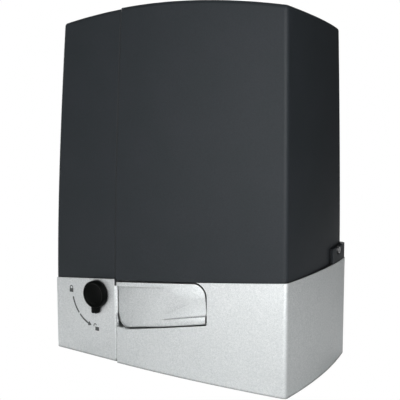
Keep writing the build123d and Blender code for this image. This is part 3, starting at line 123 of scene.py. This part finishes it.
def new_camera():
    data = bpy.data.cameras.new("camera")
    data.lens = CAMERA_LENS
    data.sensor_width = 36.0
    data.clip_start = 0.01
    camera = bpy.data.objects.new("camera", data)
    camera.location = CAMERA_PLACE
    camera.rotation_euler = (math.radians(90 - CAMERA_PITCH), 0, math.radians(CAMERA_YAW))
    bpy.context.scene.collection.objects.link(camera)
    bpy.context.scene.camera = camera


new_camera()
bpy.context.scene.view_settings.view_transform = "Standard"


def material(name):
    mat = bpy.data.materials.new(name)
    mat.use_nodes = True
    nodes = mat.node_tree.nodes
    nodes.clear()
    out = nodes.new("ShaderNodeOutputMaterial")
    shader = nodes.new("ShaderNodeBsdfPrincipled")
    mat.node_tree.links.new(shader.outputs[0], out.inputs[0])
    return mat, nodes, mat.node_tree.links, shader


def object_noise(nodes, links, scale, detail=3, rough=0.6):
    coord = nodes.new("ShaderNodeTexCoord")
    tex = nodes.new("ShaderNodeTexNoise")
    tex.inputs["Scale"].default_value = scale
    tex.inputs["Detail"].default_value = detail
    tex.inputs["Roughness"].default_value = rough
    links.new(coord.outputs["Object"], tex.inputs["Vector"])
    return tex


def ramp(nodes, links, source, stops):
    node = nodes.new("ShaderNodeValToRGB")
    while len(node.color_ramp.elements) < len(stops):
        node.color_ramp.elements.new(0.5)
    for element, (place, colour) in zip(node.color_ramp.elements, stops):
        element.position = place
        element.color = (*colour, 1)
    links.new(source, node.inputs[0])
    return node


def multiply(nodes, links, first, second):
    mix = nodes.new("ShaderNodeMix")
    mix.data_type = "RGBA"
    mix.blend_type = "MULTIPLY"
    mix.inputs["Factor"].default_value = 1.0
    links.new(first, mix.inputs[6])
    links.new(second, mix.inputs[7])
    return mix.outputs[2]


def painted_crevice_shade(nodes, links, reach, dark, low, high):
    """Painted shade: the colour is darkened where the surface is closed in, in gaps, creases and at steps,
    where shade falls.
    """
    shade = nodes.new("ShaderNodeAmbientOcclusion")
    shade.samples = 12
    shade.inputs["Distance"].default_value = reach
    grey = (dark, dark, dark)
    return ramp(nodes, links, shade.outputs["AO"], [(low, grey), (high, (1, 1, 1))]).outputs[0]


def grain_bump(nodes, links, shader, tex, strength, distance):
    bump = nodes.new("ShaderNodeBump")
    bump.inputs["Strength"].default_value = strength
    bump.inputs["Distance"].default_value = distance
    links.new(tex.outputs[0], bump.inputs["Height"])
    links.new(bump.outputs[0], shader.inputs["Normal"])


def grained(name, dark, light, scale, rough, metallic=0.0, bump=0.1, depth=0.0002, gloss=0.5):
    mat, nodes, links, shader = material(name)
    tex = object_noise(nodes, links, scale)
    colour = ramp(nodes, links, tex.outputs[0], [(0.35, dark), (0.65, light)])
    links.new(colour.outputs[0], shader.inputs["Base Color"])
    shader.inputs["Roughness"].default_value = rough
    shader.inputs["Metallic"].default_value = metallic
    shader.inputs["Specular IOR Level"].default_value = gloss
    grain_bump(nodes, links, shader, tex, bump, depth)
    return mat


def silver_paint():
    """Speckled silver paint on the cast base and its flap."""
    mat, nodes, links, shader = material("silver_paint")
    fleck = object_noise(nodes, links, 1300, 2, 0.7)
    speck = object_noise(nodes, links, 480, 3, 0.6)
    cloud = object_noise(nodes, links, 45, 3, 0.5)
    fine = ramp(nodes, links, fleck.outputs[0],
                [(0.3, (0.60, 0.625, 0.63)), (0.52, (0.725, 0.745, 0.75)), (0.72, (0.85, 0.865, 0.87))])
    mid = ramp(nodes, links, speck.outputs[0], [(0.35, (0.90, 0.91, 0.91)), (0.62, (1, 1, 1))])
    soft = ramp(nodes, links, cloud.outputs[0], [(0.3, (0.965, 0.97, 0.97)), (0.7, (1, 1, 1))])
    colour = multiply(nodes, links, fine.outputs[0], mid.outputs[0])
    colour = multiply(nodes, links, colour, soft.outputs[0])
    # painted shade: the silver's colour is darkened in gaps, creases and at steps, where shade falls
    colour = multiply(nodes, links, colour, painted_crevice_shade(nodes, links, 0.004, 0.02, 0.42, 0.80))
    links.new(colour, shader.inputs["Base Color"])
    shader.inputs["Metallic"].default_value = 0.7
    shader.inputs["Roughness"].default_value = 0.50
    grain_bump(nodes, links, shader, fleck, 0.16, 0.0002)
    return mat


def cover_plastic():
    """Matt dark grey plastic with a fine moulded grain and a faint mottle."""
    mat, nodes, links, shader = material("cover_plastic")
    grain = object_noise(nodes, links, 900, 3, 0.6)
    mottle = object_noise(nodes, links, 26, 2, 0.5)
    fine = ramp(nodes, links, grain.outputs[0],
                [(0.35, (0.0158, 0.0192, 0.0230)), (0.65, (0.0216, 0.0254, 0.0298))])
    soft = ramp(nodes, links, mottle.outputs[0], [(0.35, (0.90, 0.94, 0.92)), (0.65, (1.0, 1.0, 1.0))])
    colour = multiply(nodes, links, fine.outputs[0], soft.outputs[0])
    # painted shade: the plastic's colour is darkened in gaps, creases and at steps, where shade falls
    colour = multiply(nodes, links, colour, painted_crevice_shade(nodes, links, 0.006, 0.10, 0.45, 0.85))
    links.new(colour, shader.inputs["Base Color"])
    shader.inputs["Roughness"].default_value = 0.55
    shader.inputs["Specular IOR Level"].default_value = 0.25
    grain_bump(nodes, links, shader, grain, 0.16, 0.0002)
    return mat


SILVER = silver_paint()
COVER = cover_plastic()
KNOB = grained("knob_plastic", (0.0012, 0.0016, 0.0014), (0.0024, 0.0030, 0.0026), 700, 0.32, gloss=0.05)
INK = grained("printed_ink", (0.050, 0.054, 0.054), (0.100, 0.105, 0.105), 900, 0.6, gloss=0.2)
BLACK = grained("black_plastic", (0.012, 0.012, 0.012), (0.022, 0.022, 0.022), 800, 0.5)
RUBBER = grained("black_rubber", (0.010, 0.010, 0.010), (0.018, 0.018, 0.018), 500, 0.75)
WHITE = grained("white_plastic", (0.68, 0.68, 0.66), (0.76, 0.76, 0.74), 400, 0.4)
BOARD = grained("board_green", (0.02, 0.12, 0.05), (0.03, 0.17, 0.07), 300, 0.35)
TERMINAL = grained("terminal_green", (0.03, 0.24, 0.10), (0.05, 0.30, 0.13), 500, 0.45)
ALLOY = grained("cast_alloy", (0.46, 0.47, 0.48), (0.58, 0.59, 0.60), 300, 0.5, 0.8, 0.3, 0.0003)
MOTOR = grained("motor_casting", (0.38, 0.39, 0.40), (0.47, 0.48, 0.49), 250, 0.5, 0.8, 0.25, 0.0003)
LAMINATION = grained("lamination", (0.18, 0.18, 0.20), (0.28, 0.28, 0.30), 600, 0.4, 0.9)
WINDING = grained("winding", (0.36, 0.13, 0.05), (0.55, 0.22, 0.09), 500, 0.35, 0.7, 0.4, 0.0004)
BRONZE = grained("bronze", (0.50, 0.32, 0.13), (0.62, 0.42, 0.19), 400, 0.35, 1.0)
STEEL = grained("zinc_steel", (0.50, 0.50, 0.51), (0.62, 0.62, 0.63), 700, 0.34, 1.0, 0.08)
BEARING = grained("bearing_steel", (0.56, 0.56, 0.58), (0.64, 0.64, 0.66), 500, 0.22, 1.0, 0.04)
PINION = grained("pinion_steel", (0.42, 0.42, 0.41), (0.54, 0.54, 0.52), 350, 0.38, 1.0, 0.15)
SPRING = grained("spring_steel", (0.36, 0.36, 0.38), (0.46, 0.46, 0.48), 700, 0.28, 1.0, 0.05)
SATIN = grained("satin_black", (0.010, 0.010, 0.010), (0.014, 0.014, 0.014), 500, 0.35)

BY_SLOT = {
    "cast_silver": SILVER, "flap_silver": SILVER, "dark_cover": COVER, "knob_black": KNOB,
    "black_plastic": BLACK, "white_plastic": WHITE, "board_green": BOARD, "terminal_green": TERMINAL,
    "black_rubber": RUBBER, "cast_alloy": ALLOY, "motor_grey": MOTOR, "lamination": LAMINATION,
    "winding": WINDING, "bronze": BRONZE, "steel": STEEL, "bearing_steel": BEARING,
    "pinion_steel": PINION, "spring_steel": SPRING, "black_metal": SATIN,
}


def dress_nodes():
    slot_of = {part["node"]: part["material_slot"] for part in frame["record"]["subparts"]}
    for name, node in frame["nodes"].items():
        finish = BY_SLOT[slot_of[name]]
        if not node.material_slots:
            node.data.materials.append(finish)
        for slot in node.material_slots:
            slot.material = finish


dress_nodes()


def soft_edges(name, body, slot, width, angle, segments=2):
    """A copy of a CAD node whose sharp edges are rounded over, as a moulding or casting has them."""
    source = frame["nodes"][name]
    form = bmesh.new()
    form.from_mesh(source.data)
    bmesh.ops.remove_doubles(form, verts=form.verts, dist=MERGE_REACH)
    bmesh.ops.dissolve_limit(form, angle_limit=math.radians(FLAT_ANGLE), verts=form.verts, edges=form.edges)
    mesh = bpy.data.meshes.new(name + "_soft")
    form.to_mesh(mesh)
    form.free()
    piece = bpy.data.objects.new(name + "_skin", mesh)
    bpy.context.scene.collection.objects.link(piece)
    mesh.materials.clear()
    mesh.materials.append(BY_SLOT[slot])
    rounding = piece.modifiers.new("rounding", "BEVEL")
    rounding.width = width
    rounding.segments = segments
    rounding.limit_method = "ANGLE"
    rounding.angle_limit = math.radians(angle)
    rounding.use_clamp_overlap = True
    rounding.harden_normals = False
    graph = bpy.context.evaluated_depsgraph_get()
    rounded = bpy.data.meshes.new_from_object(piece.evaluated_get(graph))
    piece.modifiers.clear()
    piece.data = rounded
    for face in rounded.polygons:
        face.use_smooth = True
    rounded.set_sharp_from_angle(angle=math.radians(SMOOTH_ANGLE))
    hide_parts(name)
    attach(piece, body)
    return piece


def solid_from_rings(name, rings, finish):
    """A closed form through rings of points, each with as many points, capped at both ends."""
    form = bmesh.new()
    loops = [[form.verts.new(point) for point in ring] for ring in rings]
    count = len(rings[0])
    for low, high in zip(loops, loops[1:]):
        for i in range(count):
            j = (i + 1) % count
            form.faces.new((low[i], low[j], high[j], high[i]))
    form.faces.new(loops[0][::-1])
    form.faces.new(loops[-1])
    bmesh.ops.recalc_face_normals(form, faces=form.faces)
    mesh = bpy.data.meshes.new(name)
    form.to_mesh(mesh)
    form.free()
    mesh.materials.append(finish)
    for face in mesh.polygons:
        face.use_smooth = True
    mesh.set_sharp_from_angle(angle=math.radians(SMOOTH_ANGLE))
    piece = bpy.data.objects.new(name, mesh)
    bpy.context.scene.collection.objects.link(piece)
    return piece


def column_y(x):
    """The flat column's face left of the flap, in Y."""
    share = (x + HALF_LENGTH) / (COLUMN_END + HALF_LENGTH)
    return FRONT_CORNER + (COLUMN_END_Y - FRONT_CORNER) * share


def printed(name, outline):
    """A print of the given outline in X and Z, lying on the column's face."""
    rings = [[(x, column_y(x) - proud, z) for x, z in outline] for proud in (0.0, MARK_THICK)]
    piece = solid_from_rings(name, rings, INK)
    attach(piece, "base")
    return piece


def sector(centre, inner, outer, start, end, steps=24):
    """The outline of a part of a ring, by its angles in degrees."""
    angles = [math.radians(start + (end - start) * i / steps) for i in range(steps + 1)]
    far = [(centre[0] + outer * math.cos(a), centre[1] + outer * math.sin(a)) for a in angles]
    near = [(centre[0] + inner * math.cos(a), centre[1] + inner * math.sin(a)) for a in angles]
    return far + near[::-1]


def make_turn_mark():
    """The printed arc round the lock's knob, in two parts, with its arrowhead."""
    centre = (LOCK_X, LOCK_Z)
    inner = ARC_RADIUS - ARC_WIDTH / 2
    outer = ARC_RADIUS + ARC_WIDTH / 2
    printed("turn_arc_upper", sector(centre, inner, outer, ARC_START, ARC_BREAK))
    printed("turn_arc_lower", sector(centre, inner, outer, ARC_BREAK + ARC_GAP, ARC_END))
    tips = []
    for radius, degrees in ((outer + ARC_WIDTH, ARC_END), (ARC_RADIUS, ARC_END + ARROW_SWEEP),
                            (inner - ARC_WIDTH, ARC_END)):
        angle = math.radians(degrees)
        tips.append((LOCK_X + radius * math.cos(angle), LOCK_Z + radius * math.sin(angle)))
    printed("turn_arrow", tips)


def make_padlock(name, x, z, shift, tilt):
    """A plain padlock sign: a body, and a bow that stands over it or is turned aside when open."""
    half = SIGN_WIDTH / 2
    top = z + SIGN_BODY
    printed(name + "_body", [(x - half, z), (x + half, z), (x + half, top), (x - half, top)])
    bow_x = x + shift
    bow_z = top + BOW_LEG
    outer = BOW_RADIUS
    inner = BOW_RADIUS - BOW_WIDTH
    bow = sector((bow_x, bow_z), inner, outer, tilt, 180, BOW_STEPS)
    leg = [(bow_x - outer, top), (bow_x - inner, top)]
    printed(name + "_bow", bow[:BOW_STEPS + 1] + leg + bow[BOW_STEPS + 1:])
    if tilt == 0:
        printed(name + "_leg", [(bow_x + inner, top), (bow_x + outer, top),
                                (bow_x + outer, bow_z), (bow_x + inner, bow_z)])


def tab_outline():
    """The tab's outline in X and Z, with its two lower corners rounded."""
    low = LOCK_Z - TAB_REACH
    outline = [(LOCK_X - TAB_HALF, LOCK_Z - TAB_TOP), (LOCK_X - TAB_HALF, low + TAB_ROUND)]
    for side, turn in ((-1, math.pi), (1, 1.5 * math.pi)):
        for i in range(TAB_ROUND_STEPS + 1):
            a = turn + math.pi / 2 * i / TAB_ROUND_STEPS
            middle = LOCK_X + side * (TAB_HALF - TAB_ROUND)
            outline.append((middle + TAB_ROUND * math.cos(a), low + TAB_ROUND * (1 + math.sin(a))))
    return outline + [(LOCK_X + TAB_HALF, LOCK_Z - TAB_TOP)]


def tab_rings():
    """The tab's outline at each setback from the knob's front, drawn in a little at the front edge."""
    middle = LOCK_Z - TAB_REACH / 2
    rings = []
    for inset, setback in TAB_RINGS:
        share = 1 - inset / TAB_HALF
        ring = []
        for x, z in tab_outline():
            ring.append((LOCK_X + (x - LOCK_X) * share, KNOB_FRONT + setback, middle + (z - middle) * share))
        rings.append(ring)
    return rings


def make_knob():
    """The lock's knob: a disc with a rounded rim and a shallow dish, and the tab that points down."""
    rings = []
    for radius, setback in KNOB_PROFILE:
        ring = []
        for i in range(KNOB_SIDES):
            a = 2 * math.pi * i / KNOB_SIDES
            ring.append((LOCK_X + radius * math.cos(a), KNOB_FRONT + setback, LOCK_Z + radius * math.sin(a)))
        rings.append(ring)
    disc = solid_from_rings("knob_disc", rings, KNOB)
    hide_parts("lock_knob")
    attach(disc, "lock")
    tab = solid_from_rings("knob_tab", tab_rings(), KNOB)
    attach(tab, "lock")


make_turn_mark()
make_padlock("shut_sign", *SHUT_SIGN, 0.0, 0)
make_padlock("open_sign", *OPEN_SIGN, OPEN_SHIFT, OPEN_TILT)
make_knob()
soft_edges("release_flap", "flap", "flap_silver", FLAP_EDGE, FLAP_EDGE_ANGLE)


def make_spring():
    """The release spring, which in the real part shortens against its seat as the pin is pushed in; here it
    is a rigid copy of the CAD coil with a mesh of its own, carried by the output body.
    """
    mesh = frame["nodes"]["release_spring"].data.copy()
    mesh.materials.clear()
    mesh.materials.append(SPRING)
    coil = bpy.data.objects.new("release_coil", mesh)
    bpy.context.scene.collection.objects.link(coil)
    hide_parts("release_spring")
    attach(coil, "output")
    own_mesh(coil)


make_spring()


def area(name, place, target, size, power):
    data = bpy.data.lights.new(name, "AREA")
    data.shape = "RECTANGLE"
    data.size, data.size_y = size
    data.energy = power
    lamp = bpy.data.objects.new(name, data)
    lamp.location = place
    lamp.rotation_euler = (Vector(target) - Vector(place)).to_track_quat("-Z", "Y").to_euler()
    bpy.context.scene.collection.objects.link(lamp)


def stage_material():
    mat, nodes, links, shader = material("stage")
    out = next(n for n in nodes if n.type == "OUTPUT_MATERIAL")
    shader.inputs["Base Color"].default_value = FLOOR_COLOUR
    shader.inputs["Roughness"].default_value = 0.9
    white = nodes.new("ShaderNodeEmission")
    path = nodes.new("ShaderNodeLightPath")
    share = nodes.new("ShaderNodeMixShader")
    links.new(path.outputs["Is Camera Ray"], share.inputs[0])
    links.new(shader.outputs[0], share.inputs[1])
    links.new(white.outputs[0], share.inputs[2])
    links.new(share.outputs[0], out.inputs[0])
    return mat


def make_floor():
    reach = FLOOR_REACH
    mesh = bpy.data.meshes.new("floor")
    mesh.from_pydata([(-reach, -reach, 0), (reach, -reach, 0), (reach, reach, 0), (-reach, reach, 0)],
                     [], [(0, 1, 2, 3)])
    floor = bpy.data.objects.new("floor", mesh)
    floor.location.z = -FLOOR_DROP
    bpy.context.scene.collection.objects.link(floor)
    mesh.materials.append(stage_material())


def make_world(strength):
    """Soft even light, and plain white behind the object."""
    world = bpy.data.worlds.new("world")
    bpy.context.scene.world = world
    world.use_nodes = True
    nodes = world.node_tree.nodes
    links = world.node_tree.links
    nodes.clear()
    out = nodes.new("ShaderNodeOutputWorld")
    light = nodes.new("ShaderNodeBackground")
    light.inputs[0].default_value = WHITE_LIGHT
    coord = nodes.new("ShaderNodeTexCoord")
    split = nodes.new("ShaderNodeSeparateXYZ")
    fade = nodes.new("ShaderNodeMapRange")
    fade.inputs["From Min"].default_value = FADE_FROM
    fade.inputs["From Max"].default_value = FADE_TO
    fade.inputs["To Min"].default_value = strength
    fade.inputs["To Max"].default_value = strength * WORLD_BACK
    links.new(coord.outputs["Generated"], split.inputs[0])
    links.new(split.outputs["Y"], fade.inputs["Value"])
    links.new(fade.outputs[0], light.inputs[1])
    white = nodes.new("ShaderNodeBackground")
    white.inputs[0].default_value = WHITE_LIGHT
    white.inputs[1].default_value = 1.0
    path = nodes.new("ShaderNodeLightPath")
    share = nodes.new("ShaderNodeMixShader")
    links.new(path.outputs["Is Camera Ray"], share.inputs[0])
    links.new(light.outputs[0], share.inputs[1])
    links.new(white.outputs[0], share.inputs[2])
    links.new(share.outputs[0], out.inputs[0])


make_floor()
make_world(WORLD_LIGHT)
for lamp_name, place, size, power in LAMPS:
    area(lamp_name, place, AIM, size, power)
